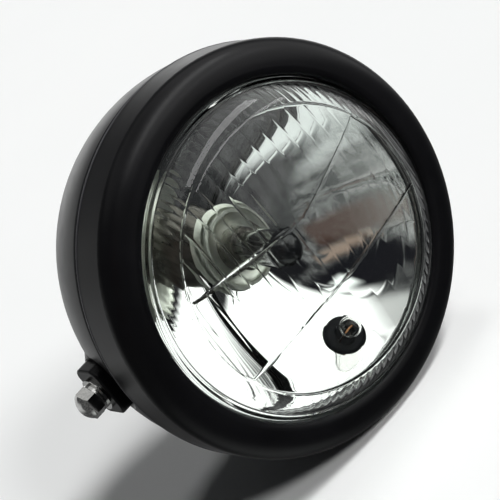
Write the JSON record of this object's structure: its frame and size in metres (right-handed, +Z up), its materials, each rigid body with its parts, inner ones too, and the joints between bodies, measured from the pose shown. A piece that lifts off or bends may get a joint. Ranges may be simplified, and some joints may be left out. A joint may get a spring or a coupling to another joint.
{
  "type": "motorcycle headlight",
  "caption": "Round side-mount motorcycle headlight: matte black bucket and rim, domed fluted glass lens, mirror reflector with main bulb and parking lamp, side bolts.",
  "frame": {"origin": "where the line through the two side bolts crosses the lamp's axis", "axes": "the lens faces -Y, +Z is up as the lens is meant to stand, +X is to the right of someone facing the lens"},
  "size_m": [0.2134, 0.137, 0.1886],
  "materials": {
    "matte_black": "matte",
    "lens_glass": "clear, fluted",
    "sealant": "matte",
    "mirror_coat": "mirror",
    "plated_steel": "zinc plated",
    "bolt_chrome": "polished",
    "bulb_glass": "clear",
    "tungsten": "drawn wire",
    "insulator": "matte",
    "blade_brass": "stamped",
    "black_rubber": "matte"
  },
  "bodies": {
    "root": {"rim": "matte_black", "bucket": "matte_black", "mount_pad_left": "matte_black", "mount_pad_right": "matte_black", "lens": "lens_glass", "lens_seal": "sealant", "reflector": "mirror_coat", "rim_hook": "plated_steel", "rim_screw": "plated_steel", "rim_nut": "plated_steel", "unit_clip_1": "plated_steel", "unit_clip_2": "plated_steel", "unit_clip_3": "plated_steel", "unit_clip_4": "plated_steel", "weld_nut_left": "plated_steel", "weld_nut_right": "plated_steel", "bulb_flange": "plated_steel", "bulb_cap": "plated_steel", "bulb_clip": "plated_steel", "mount_bolt_left": "bolt_chrome", "mount_bolt_right": "bolt_chrome", "flat_washer_left": "bolt_chrome", "flat_washer_right": "bolt_chrome", "spring_washer_left": "bolt_chrome", "spring_washer_right": "bolt_chrome", "bulb_glass": "bulb_glass", "parking_bulb": "bulb_glass", "high_beam_filament": "tungsten", "low_beam_filament": "tungsten", "bulb_supports": "tungsten", "bulb_shield": "tungsten", "parking_filament": "tungsten", "bulb_insulator": "insulator", "bulb_terminal_top": "blade_brass", "bulb_terminal_left": "blade_brass", "bulb_terminal_right": "blade_brass", "parking_terminals": "blade_brass", "bulb_boot": "black_rubber", "parking_socket": "black_rubber", "harness_grommet": "black_rubber"}
  },
  "joints": []
}
